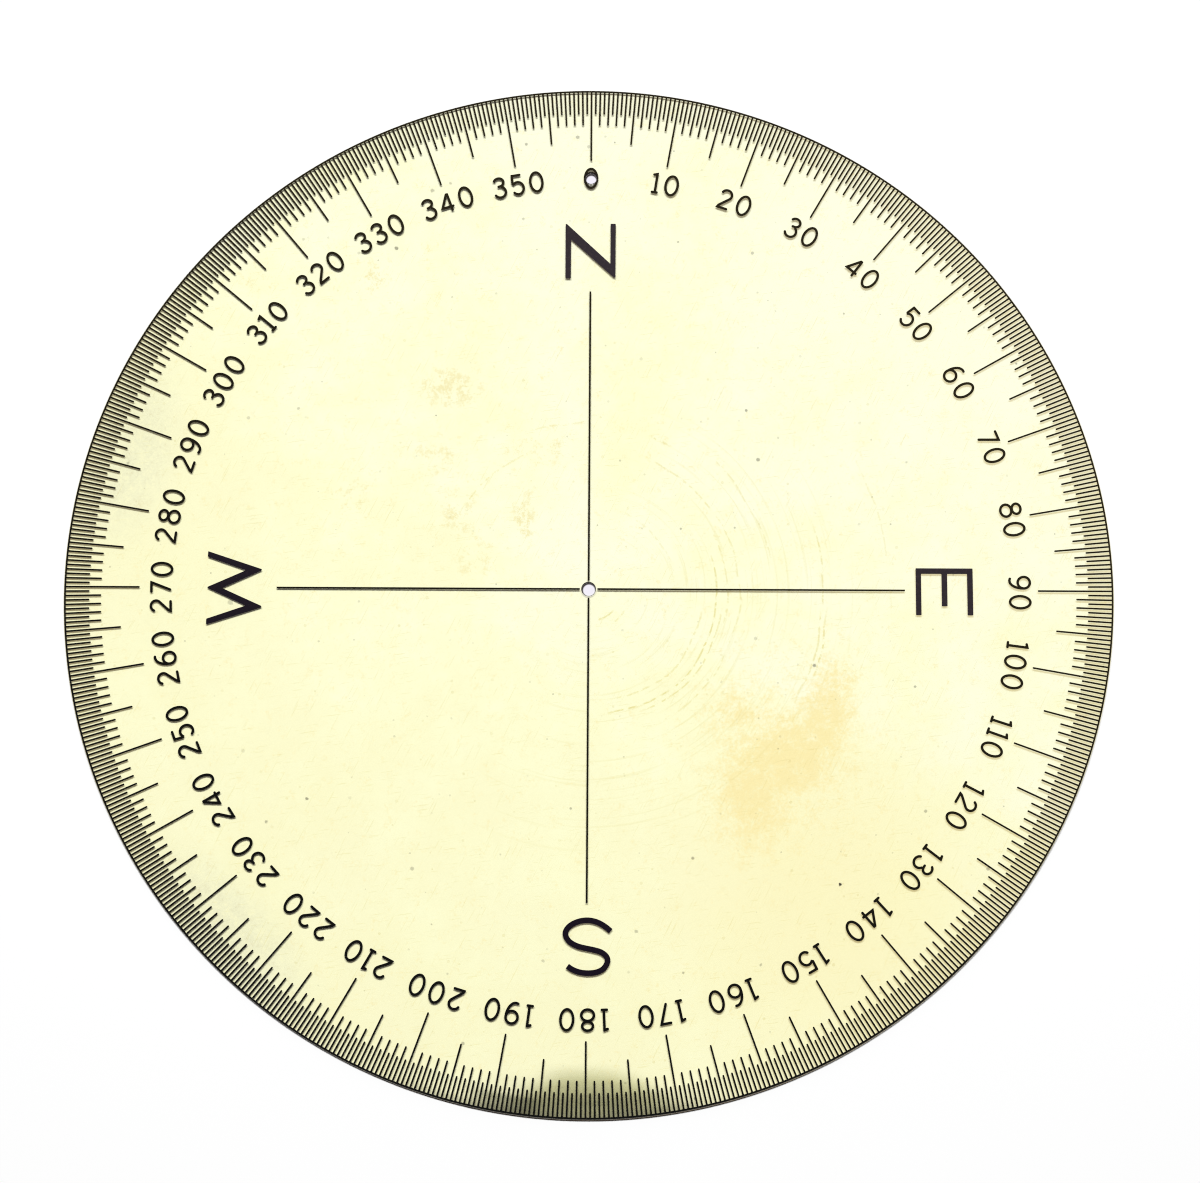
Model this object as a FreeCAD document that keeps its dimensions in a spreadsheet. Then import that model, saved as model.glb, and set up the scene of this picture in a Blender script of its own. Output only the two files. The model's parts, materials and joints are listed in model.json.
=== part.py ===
import FreeCAD, Part
import math
import os

import Sketcher

# Full-circle protractor: a thin flat disc of clear sheet plastic with a scale of
# half degrees printed in black on its top face, right out to a thin line at the rim.
# A cross of four printed lines stops just short of the centre hole, and a second
# hole is drilled on the zero line, where the scale's zero stands.
#
# The origin is the centre of the disc's underside, on the axis of the centre hole.
# +Z points up through the printed face, +Y to the scale's zero (north) and +X to
# ninety degrees (east), so the scale counts clockwise seen from above.

# Driving dimensions in millimetres

SIZES = (
    ("disc_diameter", 203.2, "outside diameter of the sheet, eight inches"),
    ("disc_thickness", 1.0, "thickness of the sheet"),
    ("edge_break", 0.1, "bevel that takes the sharpness off both rim edges"),
    ("centre_hole_diameter", 2.7, "hole at the centre of the cross"),
    ("zero_hole_diameter", 2.2, "hole through the scale's zero"),
    ("zero_hole_inset", 18.3, "from the rim in to the centre of the zero hole"),
    ("print_thickness", 0.03, "height of the printed film over the sheet"),
    ("rim_line_width", 0.33, "line that the marks run out to"),
    ("mark_width", 0.34, "width of every mark of the scale"),
    ("half_degree_length", 5.0, "from the rim in to the end of a half-degree mark"),
    ("degree_length", 7.3, "the same for a degree mark"),
    ("five_degree_length", 11.0, "the same for a five-degree mark"),
    ("ten_degree_length", 14.7, "the same for a ten-degree mark"),
    ("cross_line_width", 0.35, "width of the four centre lines"),
    ("cross_line_gap", 0.35, "bare ring round the centre hole, where the lines stop"),
    ("north_line_reach", 59.9, "from the centre to the end of the line to zero"),
    ("east_line_reach", 61.2, "the same for the line to ninety degrees"),
    ("south_line_reach", 60.9, "the same for the line to one hundred and eighty"),
    ("west_line_reach", 60.4, "the same for the line to two hundred and seventy"),
)

# Angles of the scale in degrees: where the first mark of each kind stands, how
# many stand in a row one step apart, and how often that row comes round the disc

FULL_TURN = math.degrees(math.tau)
MARK_KINDS = (
    ("half_degree", 0.5, 1, 1, 360),
    ("degree", 1, 4, 1, 72),
    ("five_degree", 5, 1, 5, 36),
    ("ten_degree", 0, 1, 10, 36),
)
RIM_LINE_ARCS = 120
CENTRE_LINES = (("north", 0), ("east", 90), ("south", 180), ("west", 270))

# Lengths worked out from the driving dimensions, as the bodies use them

SHEET = "Sizes."
DISC_RADIUS = SHEET + "disc_diameter / 2"
LINE_OUTER_RADIUS = DISC_RADIUS + " - " + SHEET + "edge_break"
LINE_INNER_RADIUS = LINE_OUTER_RADIUS + " - " + SHEET + "rim_line_width"
LINE_START_RADIUS = SHEET + "centre_hole_diameter / 2 + " + SHEET + "cross_line_gap"

# Numbers that a sketch's constraints know a curve's points and the sketch's axes by

START, END, CENTRE = range(1, 4)
X_AXIS, Y_AXIS = -1, -2
ORIGIN_POINT = (X_AXIS, START)

# Rough distances that a sketch is drawn at, before its dimensions pull it into place

NEAR = 1
FAR = 2


def make_sizes(document):
    sheet = document.addObject("Spreadsheet::Sheet", "Sizes")
    for row, (alias, value, meaning) in enumerate(SIZES, start=1):
        sheet.set("A%d" % row, meaning)
        sheet.set("B%d" % row, str(value))
        sheet.setAlias("B%d" % row, alias)
    document.recompute()
    return sheet


def origin_feature(body, role):
    for feature in body.Origin.OriginFeatures:
        if feature.Role == role:
            return feature
    raise RuntimeError("no origin feature " + role)


def new_body(document, label):
    body = document.addObject("PartDesign::Body", label)
    body.Label = label
    return body


def new_sketch(body, name, height=None, clockwise=0):
    """A sketch on the body's XY plane, raised to a height and turned from north."""
    sketch = body.newObject("Sketcher::SketchObject", name)
    sketch.AttachmentSupport = [(origin_feature(body, "XY_Plane"), "")]
    sketch.MapMode = "FlatFace"
    turn = FreeCAD.Rotation(FreeCAD.Vector(0, 0, 1), -clockwise)
    sketch.AttachmentOffset = FreeCAD.Placement(FreeCAD.Vector(), turn)
    if height:
        sketch.setExpression("AttachmentOffset.Base.z", height)
    return sketch


def constrain(sketch, name, expression, *arguments):
    """A dimension of the sketch, named and bound to the sheet."""
    index = sketch.addConstraint(Sketcher.Constraint(*arguments))
    sketch.renameConstraint(index, name)
    sketch.setExpression("Constraints." + name, expression)


def add_circle(sketch, name, diameter, north=None):
    """A circle on the origin, or on the Y axis at a distance north of it."""
    middle = FreeCAD.Vector(0, NEAR if north else 0, 0)
    circle = sketch.addGeometry(Part.Circle(middle, FreeCAD.Vector(0, 0, 1), NEAR), False)
    if north:
        sketch.addConstraint(Sketcher.Constraint("PointOnObject", circle, CENTRE, Y_AXIS))
        constrain(sketch, name + "_north", north, "DistanceY", *ORIGIN_POINT, circle, CENTRE, NEAR)
    else:
        sketch.addConstraint(Sketcher.Constraint("Coincident", circle, CENTRE, *ORIGIN_POINT))
    constrain(sketch, name + "_diameter", diameter, "Diameter", circle, FAR)


def add_bar(sketch, width, inner, outer):
    """A straight bar along the Y axis, evenly about it, from inner to outer radius."""
    outline = ((-NEAR, NEAR), (NEAR, NEAR), (NEAR, FAR), (-NEAR, FAR))
    corners = [FreeCAD.Vector(x, y, 0) for x, y in outline]
    sides = []
    for here, there in zip(corners, corners[1:] + corners[:1]):
        sides.append(sketch.addGeometry(Part.LineSegment(here, there), False))
    for side, following in zip(sides, sides[1:] + sides[:1]):
        sketch.addConstraint(Sketcher.Constraint("Coincident", side, END, following, START))
    inner_end, right, outer_end, left = sides
    sketch.addConstraint(Sketcher.Constraint("Vertical", right))
    sketch.addConstraint(Sketcher.Constraint("Vertical", left))
    sketch.addConstraint(Sketcher.Constraint("Horizontal", outer_end))
    symmetric = Sketcher.Constraint("Symmetric", inner_end, START, inner_end, END, Y_AXIS)
    sketch.addConstraint(symmetric)
    constrain(sketch, "width", width, "DistanceX", inner_end, START, inner_end, END, NEAR)
    constrain(sketch, "inner", inner, "DistanceY", *ORIGIN_POINT, inner_end, START, NEAR)
    constrain(sketch, "outer", outer, "DistanceY", *ORIGIN_POINT, outer_end, START, FAR)


def add_arc_band(sketch, inner, outer, angle):
    """A band between two arcs about the origin, evenly about the Y axis."""
    half = math.radians(angle / 2)
    up = math.pi / 2
    axis = FreeCAD.Vector(0, 0, 1)
    arcs = []
    ends = []
    for radius in (NEAR, FAR):
        circle = Part.Circle(FreeCAD.Vector(), axis, radius)
        arcs.append(sketch.addGeometry(Part.ArcOfCircle(circle, up - half, up + half), False))
    for side in (1, -1):
        outward = FreeCAD.Vector(side * math.sin(half), math.cos(half), 0)
        line = Part.LineSegment(NEAR * outward, FAR * outward)
        ends.append(sketch.addGeometry(line, False))
    inner_arc, outer_arc = arcs
    for arc in arcs:
        sketch.addConstraint(Sketcher.Constraint("Coincident", arc, CENTRE, *ORIGIN_POINT))
    for end, corner in zip(ends, (START, END)):
        sketch.addConstraint(Sketcher.Constraint("Coincident", end, START, inner_arc, corner))
        sketch.addConstraint(Sketcher.Constraint("Coincident", end, END, outer_arc, corner))
        sketch.addConstraint(Sketcher.Constraint("PointOnObject", *ORIGIN_POINT, end))
    symmetric = Sketcher.Constraint("Symmetric", outer_arc, START, outer_arc, END, Y_AXIS)
    sketch.addConstraint(symmetric)
    right, left = ends
    spread = Sketcher.Constraint("Angle", right, START, left, START, math.radians(angle))
    sketch.addConstraint(spread)
    constrain(sketch, "inner", inner, "Radius", inner_arc, NEAR)
    constrain(sketch, "outer", outer, "Radius", outer_arc, FAR)


def pad(body, sketch, name, thickness):
    feature = body.newObject("PartDesign::Pad", name)
    feature.Profile = sketch
    feature.setExpression("Length", thickness)
    sketch.Visibility = False
    return feature


def print_film(body, sketch):
    return pad(body, sketch, "Film", SHEET + "print_thickness")


def rim_edges(feature, radius):
    """Names of the full circles of this radius among the feature's edges."""
    names = []
    for number, edge in enumerate(feature.Shape.Edges, start=1):
        if isinstance(edge.Curve, Part.Circle) and math.isclose(edge.Curve.Radius, radius):
            names.append("Edge%d" % number)
    return names


def make_disc(document, sheet):
    body = new_body(document, "disc")
    outline = new_sketch(body, "Outline")
    add_circle(outline, "rim", SHEET + "disc_diameter")
    blank = pad(body, outline, "Blank", SHEET + "disc_thickness")
    document.recompute()

    bevel = body.newObject("PartDesign::Chamfer", "EdgeBreak")
    bevel.Base = (blank, rim_edges(blank, sheet.disc_diameter / 2))
    bevel.setExpression("Size", SHEET + "edge_break")
    document.recompute()

    drilling = new_sketch(body, "Drilling")
    add_circle(drilling, "centre_hole", SHEET + "centre_hole_diameter")
    zero_hole_north = DISC_RADIUS + " - " + SHEET + "zero_hole_inset"
    add_circle(drilling, "zero_hole", SHEET + "zero_hole_diameter", zero_hole_north)
    holes = body.newObject("PartDesign::Pocket", "Holes")
    holes.Profile = drilling
    holes.Type = "ThroughAll"
    holes.Midplane = True
    drilling.Visibility = False
    body.Tip = holes
    document.recompute()

    drilled_area = math.pi / 4 * (sheet.centre_hole_diameter ** 2 + sheet.zero_hole_diameter ** 2)
    removed = bevel.Shape.Volume - holes.Shape.Volume
    if not math.isclose(removed, drilled_area * sheet.disc_thickness, rel_tol=1e-6):
        raise RuntimeError("the holes aren't drilled right through the disc")
    return body


def make_rim_line(document):
    """A closed ring, drawn as one arc and repeated round the disc, with no gap between arcs."""
    body = new_body(document, "rim_line")
    sketch = new_sketch(body, "Arc", SHEET + "disc_thickness")
    add_arc_band(sketch, LINE_INNER_RADIUS, LINE_OUTER_RADIUS, FULL_TURN / RIM_LINE_ARCS)
    arc = print_film(body, sketch)
    document.recompute()

    ring = polar_pattern(body, "Ring", FULL_TURN, RIM_LINE_ARCS)
    ring.Originals = [arc]
    ring.Refine = False
    body.Tip = ring
    document.recompute()
    if len(ring.Shape.Solids) != 1:
        raise RuntimeError("the rim line isn't closed")
    return body


def make_marks(document, kind, first, in_row, step, rows):
    """All marks of one kind: one bar, repeated along a row, and the row round the disc."""
    body = new_body(document, kind + "_marks")
    sketch = new_sketch(body, "FirstMark", SHEET + "disc_thickness", first)
    inner = DISC_RADIUS + " - " + SHEET + kind + "_length"
    add_bar(sketch, SHEET + "mark_width", inner, LINE_INNER_RADIUS)
    mark = print_film(body, sketch)
    document.recompute()

    scale = body.newObject("PartDesign::MultiTransform", "Scale")
    scale.Originals = [mark]
    transforms = []
    if in_row > 1:
        transforms.append(polar_pattern(body, "Row", step * (in_row - 1), in_row))
    transforms.append(polar_pattern(body, "Turn", FULL_TURN, rows))
    scale.Transformations = transforms
    body.Tip = scale
    document.recompute()

    wanted = in_row * rows
    if len(scale.Shape.Solids) != wanted:
        raise RuntimeError("%s has %d marks" % (body.Label, len(scale.Shape.Solids)))
    return body


def polar_pattern(body, name, angle, occurrences):
    """A clockwise pattern about the disc's axis."""
    pattern = body.newObject("PartDesign::PolarPattern", name)
    pattern.Axis = (origin_feature(body, "Z_Axis"), [""])
    pattern.Reversed = True
    pattern.Angle = angle
    pattern.Occurrences = occurrences
    return pattern


def make_centre_line(document, direction, clockwise):
    body = new_body(document, direction + "_line")
    sketch = new_sketch(body, "Stroke", SHEET + "disc_thickness", clockwise)
    reach = SHEET + direction + "_line_reach"
    add_bar(sketch, SHEET + "cross_line_width", LINE_START_RADIUS, reach)
    body.Tip = print_film(body, sketch)
    return body


def check_objects(document, bodies):
    for item in document.Objects:
        if "Invalid" in item.State or "Error" in item.State:
            raise RuntimeError(item.Name + " failed")
    for body in bodies:
        if body.Shape.isNull() or not body.Shape.isValid():
            raise RuntimeError(body.Label + " has no valid shape")


def write_parts(bodies):
    os.makedirs("parts", exist_ok=True)
    for body in bodies:
        body.Shape.exportStep(os.path.join("parts", body.Label + ".step"))
        print("%-20s %4d solids %10.3f mm3" % (body.Label, len(body.Shape.Solids), body.Shape.Volume))


document = FreeCAD.newDocument("protractor")
sheet = make_sizes(document)
bodies = [make_disc(document, sheet), make_rim_line(document)]
for kind in MARK_KINDS:
    bodies.append(make_marks(document, *kind))
for line in CENTRE_LINES:
    bodies.append(make_centre_line(document, *line))
document.recompute()
check_objects(document, bodies)
write_parts(bodies)
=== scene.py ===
import json
import math

import bpy
from mathutils import Matrix, Vector


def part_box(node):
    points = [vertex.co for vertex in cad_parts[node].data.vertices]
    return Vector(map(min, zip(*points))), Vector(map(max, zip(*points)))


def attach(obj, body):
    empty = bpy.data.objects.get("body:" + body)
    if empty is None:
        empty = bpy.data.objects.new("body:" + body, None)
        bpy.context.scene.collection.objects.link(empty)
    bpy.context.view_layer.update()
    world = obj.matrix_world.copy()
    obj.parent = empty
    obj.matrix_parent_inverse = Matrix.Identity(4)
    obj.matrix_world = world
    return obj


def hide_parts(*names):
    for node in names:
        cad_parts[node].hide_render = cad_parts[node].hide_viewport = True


# Full-circle protractor: a yellowed clear sheet, printed in black on its top face,
# lying on white paper under a lamp that stands to its north.

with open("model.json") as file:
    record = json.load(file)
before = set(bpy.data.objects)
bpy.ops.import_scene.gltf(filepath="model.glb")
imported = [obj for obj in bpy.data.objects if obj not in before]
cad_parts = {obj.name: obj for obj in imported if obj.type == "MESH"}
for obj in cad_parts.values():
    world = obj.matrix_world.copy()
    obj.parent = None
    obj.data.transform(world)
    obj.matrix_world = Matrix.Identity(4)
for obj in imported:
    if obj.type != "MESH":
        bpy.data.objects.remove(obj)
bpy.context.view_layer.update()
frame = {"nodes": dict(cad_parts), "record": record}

mm = 0.001
UP = Vector((0, 0, 1))

# The sheet and its print, as the frame gives them

SHEET_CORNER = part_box("disc")[1]
RADIUS = SHEET_CORNER.x
THICKNESS = SHEET_CORNER.z
RIM_LINE_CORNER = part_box("rim_line")[1]
LINE_OUTER_RADIUS = RIM_LINE_CORNER.x
INK_TOP = RIM_LINE_CORNER.z
CENTRE_HOLE, ZERO_HOLE = (mount for mount in frame["record"]["mounts"] if mount["kind"] == "bore")

# How far the sheet's edges are bevelled, and how many sides its circles have

EDGE_BREAK = 0.1 * mm
CENTRE_BEVEL = 0.08 * mm
ZERO_BEVEL = 0.2 * mm
RIM_SIDES = 720
HOLE_SIDES = 72

# The ink bites a hair into the sheet, so that no two faces coincide

INK_BITE = 0.002 * mm
INK_BOTTOM = THICKNESS - INK_BITE

# Marks of the scale: kind, angles of the first set, sets round the disc and length

MARK_KINDS = (
    ("half_degree", (0.5,), 360, 5.0 * mm),
    ("degree", (1, 2, 3, 4), 72, 7.3 * mm),
    ("five_degree", (5,), 36, 11.0 * mm),
    ("ten_degree", (0,), 36, 14.7 * mm),
)
MARK_WIDTH = 0.34 * mm
RIM_LINE_WIDTH = 0.33 * mm
LINE_INNER_RADIUS = LINE_OUTER_RADIUS - RIM_LINE_WIDTH

# How ink is rounded, in shares of a stroke's width: how far from its end or corner
# the upright edges are looked for, and how far the rounding then goes

END_REACH, END_ROUNDING = 0.52, 0.48
CORNER_REACH, CORNER_ROUNDING = 1.3, 0.25

# The same for the corners of an outline, in lengths

OUTLINE_REACH, OUTLINE_ROUNDING = 0.1 * mm, 0.12 * mm

# Points closer together than this count as one, and upright edges lean less than this

SAME_POINT = 0.01 * mm
SAME_FUSED_POINT = 0.002 * mm
UPRIGHT_LEAN = 0.001 * mm

# A face lies flat if its normal's share of height is over this

FLAT = 0.9


def deselect_all():
    if bpy.context.object and bpy.context.object.mode != "OBJECT":
        bpy.ops.object.mode_set(mode="OBJECT")
    bpy.ops.object.select_all(action="DESELECT")


def make_active(piece):
    deselect_all()
    piece.select_set(True)
    bpy.context.view_layer.objects.active = piece


def apply_modifier(piece, kind, **settings):
    make_active(piece)
    modifier = piece.modifiers.new(kind.title(), kind)
    for name, value in settings.items():
        setattr(modifier, name, value)
    bpy.ops.object.modifier_apply(modifier=modifier.name)


def turned(points, angle):
    """Points turned clockwise about the disc's axis, seen from above."""
    turn = Matrix.Rotation(-math.radians(angle), 3, "Z")
    return [turn @ point for point in points]


def oval(x, y, width, height, start=0, end=360, step=12):
    """Points along an oval of these half sizes, by its angle in degrees, in millimetres."""
    count = max(2, round(abs(end - start) / step))
    angles = [math.radians(start + (end - start) * k / count) for k in range(count + 1)]
    return [(x + width * math.cos(angle), y + height * math.sin(angle)) for angle in angles]


def drawn_line(name, points, closed=False):
    """A chain of edges, drawn from one vertex by extruding it from point to point."""
    deselect_all()
    bpy.ops.mesh.primitive_plane_add(size=mm)
    line = bpy.context.object
    line.name = name
    bpy.ops.object.mode_set(mode="EDIT")
    bpy.ops.mesh.select_mode(type="VERT")
    bpy.ops.mesh.select_all(action="SELECT")
    bpy.ops.mesh.merge(type="CENTER")
    bpy.ops.transform.translate(value=points[0])
    for here, there in zip(points, points[1:]):
        bpy.ops.mesh.extrude_region_move(TRANSFORM_OT_translate={"value": there - here})
    bpy.ops.mesh.select_all(action="SELECT")
    if closed:
        bpy.ops.mesh.remove_doubles(threshold=SAME_POINT)
    return line


def at_ink_bottom(points):
    """Flat points in millimetres, as vectors at the foot of the ink."""
    return [Vector((x * mm, y * mm, INK_BOTTOM)) for x, y in points]


def raise_ink():
    bpy.ops.mesh.extrude_region_move(TRANSFORM_OT_translate={"value": UP * (INK_TOP - INK_BOTTOM)})
    bpy.ops.mesh.select_all(action="SELECT")
    bpy.ops.mesh.normals_make_consistent(inside=False)
    bpy.ops.object.mode_set(mode="OBJECT")


def bevel_edges(piece, wanted, offset, segments):
    """Bevels the edges whose two ends are wanted."""
    make_active(piece)
    mesh = piece.data
    for element in (*mesh.vertices, *mesh.polygons):
        element.select = False
    for edge in mesh.edges:
        edge.select = wanted(*(mesh.vertices[index].co for index in edge.vertices))
    bpy.context.tool_settings.mesh_select_mode = (False, True, False)
    bpy.ops.object.mode_set(mode="EDIT")
    bpy.ops.mesh.bevel(offset=offset, segments=segments, affect="EDGES")
    bpy.ops.object.mode_set(mode="OBJECT")


def upright_near(spots, reach):
    """A test for edges that stand upright within reach of one of the spots."""
    def wanted(low, high):
        near = any((low - spot).xy.length < reach for spot in spots)
        return near and (low - high).xy.length < UPRIGHT_LEAN
    return wanted


def round_ends(stroke, ends, width, segments):
    wanted = upright_near(ends, END_REACH * width)
    bevel_edges(stroke, wanted, END_ROUNDING * width, segments)


def plain_stroke(name, points, width, closed=False):
    """A stroke of ink of one width along a line, with square ends."""
    stroke = drawn_line(name, points, closed)
    raise_ink()
    apply_modifier(stroke, "SOLIDIFY", thickness=width, offset=0, use_even_offset=True)
    return stroke


def pen_stroke(name, points, width, corners):
    """A stroke of ink with round ends, unless it closes on itself, and eased corners."""
    closed = (points[0] - points[-1]).length < SAME_POINT
    stroke = plain_stroke(name, points, width, closed)
    if not closed:
        round_ends(stroke, (points[0], points[-1]), width, segments=4)
    if corners:
        wanted = upright_near(corners, CORNER_REACH * width)
        bevel_edges(stroke, wanted, CORNER_ROUNDING * width, segments=2)
    return stroke


def filled_outline(name, points):
    """A flat shape of ink inside an outline, with its corners eased a little."""
    shape = drawn_line(name, points + points[:1], closed=True)
    bpy.ops.mesh.edge_face_add()
    raise_ink()
    bevel_edges(shape, upright_near(points, OUTLINE_REACH), OUTLINE_ROUNDING, segments=2)
    return shape


def joined(name, pieces):
    """Several pieces as one object."""
    deselect_all()
    for piece in pieces:
        piece.select_set(True)
    bpy.context.view_layer.objects.active = pieces[0]
    if len(pieces) > 1:
        bpy.ops.object.join()
    pieces[0].name = name
    return pieces[0]


def fused(piece, others):
    """The piece with the others fused to it, where strokes cross."""
    for other in others:
        apply_modifier(piece, "BOOLEAN", operation="UNION", solver="EXACT", object=other)
        bpy.data.objects.remove(other)
    make_active(piece)
    bpy.ops.object.mode_set(mode="EDIT")
    bpy.ops.mesh.select_all(action="SELECT")
    bpy.ops.mesh.remove_doubles(threshold=SAME_FUSED_POINT)
    bpy.ops.mesh.dissolve_limited(angle_limit=math.radians(1))
    bpy.ops.mesh.select_all(action="SELECT")
    bpy.ops.mesh.delete_loose()
    bpy.ops.object.mode_set(mode="OBJECT")
    return piece


def drill(piece, mount, radius):
    """Cuts a hole of this radius where the mount has its own."""
    deselect_all()
    bpy.ops.mesh.primitive_cylinder_add(
        vertices=HOLE_SIDES, radius=radius, depth=3 * THICKNESS, location=mount["pos_m"]
    )
    cutter = bpy.context.object
    apply_modifier(piece, "BOOLEAN", operation="DIFFERENCE", solver="EXACT", object=cutter)
    bpy.data.objects.remove(cutter)


# The sheet


def bore_radius(mount):
    return mount["dims"]["r_mm"] * mm


def make_sheet():
    deselect_all()
    bpy.ops.mesh.primitive_cylinder_add(
        vertices=RIM_SIDES, radius=RADIUS, depth=THICKNESS, location=UP * THICKNESS / 2
    )
    sheet = bpy.context.object
    sheet.name = "clear_sheet_disc"
    bpy.ops.object.transform_apply(location=True)
    bpy.ops.object.mode_set(mode="EDIT")
    bpy.ops.mesh.select_all(action="DESELECT")
    bpy.ops.mesh.edges_select_sharp(sharpness=math.radians(60))
    bpy.ops.mesh.bevel(offset=EDGE_BREAK, segments=2, affect="EDGES")
    bpy.ops.object.mode_set(mode="OBJECT")
    for mount, bevel in ((CENTRE_HOLE, CENTRE_BEVEL), (ZERO_HOLE, ZERO_BEVEL)):
        drill(sheet, mount, bore_radius(mount))
        bevel_hole(sheet, mount, bevel)
    bpy.ops.object.shade_smooth_by_angle(angle=math.radians(30))
    for polygon in sheet.data.polygons:
        polygon.use_smooth = abs(polygon.normal.z) < FLAT
    return sheet


def bevel_hole(sheet, mount, bevel):
    """Takes the sharpness off a hole's top edge, as a deburring drill does."""
    def on_edge(point):
        away = (point - Vector(mount["pos_m"])).xy.length
        at_radius = abs(away - bore_radius(mount)) < 2 * SAME_POINT
        return at_radius and abs(point.z - THICKNESS) < SAME_POINT
    bevel_edges(sheet, lambda start, end: on_edge(start) and on_edge(end), bevel, segments=1)


def face_kind(polygon):
    """The printed face, the underside, the outer edge or a hole's wall, by number."""
    if abs(polygon.normal.z) > FLAT:
        return 0 if polygon.normal.z > 0 else 1
    return 2 if polygon.center.xy.length > RADIUS - mm else 3


# The scale


def make_mark(name, angle, length):
    """One mark, square where it meets the rim line and round at its inner end."""
    ends = [Vector((0, RADIUS - length, INK_BOTTOM)), Vector((0, LINE_INNER_RADIUS, INK_BOTTOM))]
    ends = turned(ends, angle)
    mark = plain_stroke(name, ends, MARK_WIDTH)
    round_ends(mark, ends[:1], MARK_WIDTH, segments=3)
    return mark


def make_marks(kind, angles, sets, length):
    """A set of marks, drawn at its first angles and repeated all round the disc."""
    marks = [make_mark("%s_mark_%g" % (kind, angle), angle, length) for angle in angles]
    marks = joined("inked_" + kind + "_marks", marks)
    make_active(marks)
    bpy.ops.object.mode_set(mode="EDIT")
    bpy.ops.mesh.select_all(action="SELECT")
    bpy.ops.mesh.spin(
        steps=sets - 1, dupli=True, angle=-math.tau * (sets - 1) / sets,
        center=(0, 0, 0), axis=(0, 0, 1),
    )
    bpy.ops.object.mode_set(mode="OBJECT")
    return marks


# The numerals: each digit's strokes and sharp corners in millimetres, from the middle
# of its foot

DIGIT_WIDTH = 0.5 * mm
DIGIT_STROKES = {
    "0": [oval(0, 2.28, 1.2, 1.97)],
    "1": [[(-0.75, 3.92), (0.1, 4.2), (0.1, 0.38)], [(-0.72, 0.38), (0.72, 0.38)]],
    "2": [oval(0, 3.22, 1.03, 1.0, 170, -42) + [(-0.93, 0.82), (-1.1, 0.4), (1.02, 0.4)]],
    "3": [
        oval(0.03, 3.4, 0.96, 0.85, 168, -78) + [(-0.4, 2.5)],
        oval(-0.04, 1.36, 1.12, 1.1, 72, -165),
    ],
    "4": [[(0.58, 4.18), (0.62, 0.28)], [(0.5, 4.14), (-1.2, 1.36), (1.27, 1.27)]],
    "5": [
        [(0.92, 4.2), (-0.86, 4.2), (-0.98, 2.34)],
        [(-0.98, 2.3)] + oval(-0.02, 1.52, 1.13, 1.26, 135, -150),
    ],
    "6": [oval(0.02, 1.47, 1.15, 1.2), oval(0.45, 1.6, 1.58, 2.6, 180, 74)],
    "7": [[(-1.03, 4.13), (1.02, 4.16), (-0.48, 0.28)]],
    "8": [oval(0.02, 3.38, 1.02, 0.85), oval(0.02, 1.34, 1.2, 1.07)],
    "9": [oval(0.03, 3.02, 1.14, 1.18), oval(-0.37, 2.9, 1.54, 2.65, 0, -114)],
}
DIGIT_CORNERS = {
    "1": [(0.1, 4.2)],
    "2": [(-1.1, 0.4)],
    "4": [(-1.2, 1.36)],
    "5": [(-0.86, 4.2)],
    "7": [(1.02, 4.16)],
}
DIGIT_GAP = 0.93 * mm

# The ring of numerals stands a little off the disc's centre, and each numeral a
# little off its mark, clockwise in millimetres, as the lettering was set by hand

NUMERAL_STEP = 10
NUMERAL_FOOT_RADIUS = 80.85 * mm
NUMERAL_RING_SHIFT = 0.38 * mm
NUMERAL_RING_SHIFT_ANGLE = 70
NUMERAL_SLIPS = {
    10: 0.3, 50: 0.3, 80: 0.3, 90: 0.3, 100: 0.2, 110: 0.2, 120: 0.4, 130: 0.5, 140: 0.2,
    150: 0.4, 160: 0.8, 170: 0.2, 180: 0.4, 190: 0.2, 220: -0.4, 260: 0.4, 280: -0.2, 330: -0.3,
}


def make_digits():
    """One of each digit, to copy from."""
    digits = {}
    for digit, strokes in DIGIT_STROKES.items():
        corners = at_ink_bottom(DIGIT_CORNERS.get(digit, ()))
        drawn = []
        for number, stroke in enumerate(strokes):
            points = at_ink_bottom(stroke)
            here = [corner for corner in corners if corner in points]
            drawn.append(pen_stroke("digit_%s_%d" % (digit, number), points, DIGIT_WIDTH, here))
        digits[digit] = fused(drawn[0], drawn[1:])
    return digits


def copied(piece, name):
    copy = piece.copy()
    copy.data = piece.data.copy()
    copy.name = name
    bpy.context.scene.collection.objects.link(copy)
    return copy


def make_numeral(angle, digits):
    """A numeral with its digits side by side along the ring, tops outward."""
    toward = math.radians(angle - NUMERAL_RING_SHIFT_ANGLE)
    foot = NUMERAL_FOOT_RADIUS + NUMERAL_RING_SHIFT * math.cos(toward)
    text = str(angle)
    widths = [digits[digit].dimensions.x for digit in text]
    along = NUMERAL_SLIPS.get(angle, 0) * mm - (sum(widths) + DIGIT_GAP * (len(text) - 1)) / 2
    placed = []
    for place, (digit, width) in enumerate(zip(text, widths)):
        middle = along + width / 2
        turn = math.radians(angle) + middle / foot
        piece = copied(digits[digit], "numeral_%03d_%d" % (angle, place))
        lift = Matrix.Translation((0, foot, 0))
        piece.data.transform(Matrix.Rotation(-turn, 4, "Z") @ lift)
        placed.append(piece)
        along += width + DIGIT_GAP
    return joined("numeral_%03d" % angle, placed)


def make_numerals():
    """All the numerals. The zero is cut away where the zero hole and its bevel go through."""
    digits = make_digits()
    numerals = [make_numeral(angle, digits) for angle in range(0, 360, NUMERAL_STEP)]
    drill(numerals[0], ZERO_HOLE, bore_radius(ZERO_HOLE) + ZERO_BEVEL)
    for digit in digits.values():
        bpy.data.objects.remove(digit)
    return numerals


# The four letters in millimetres, as they stand at the north: three outlines, and the
# line down the middle of the S

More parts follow.
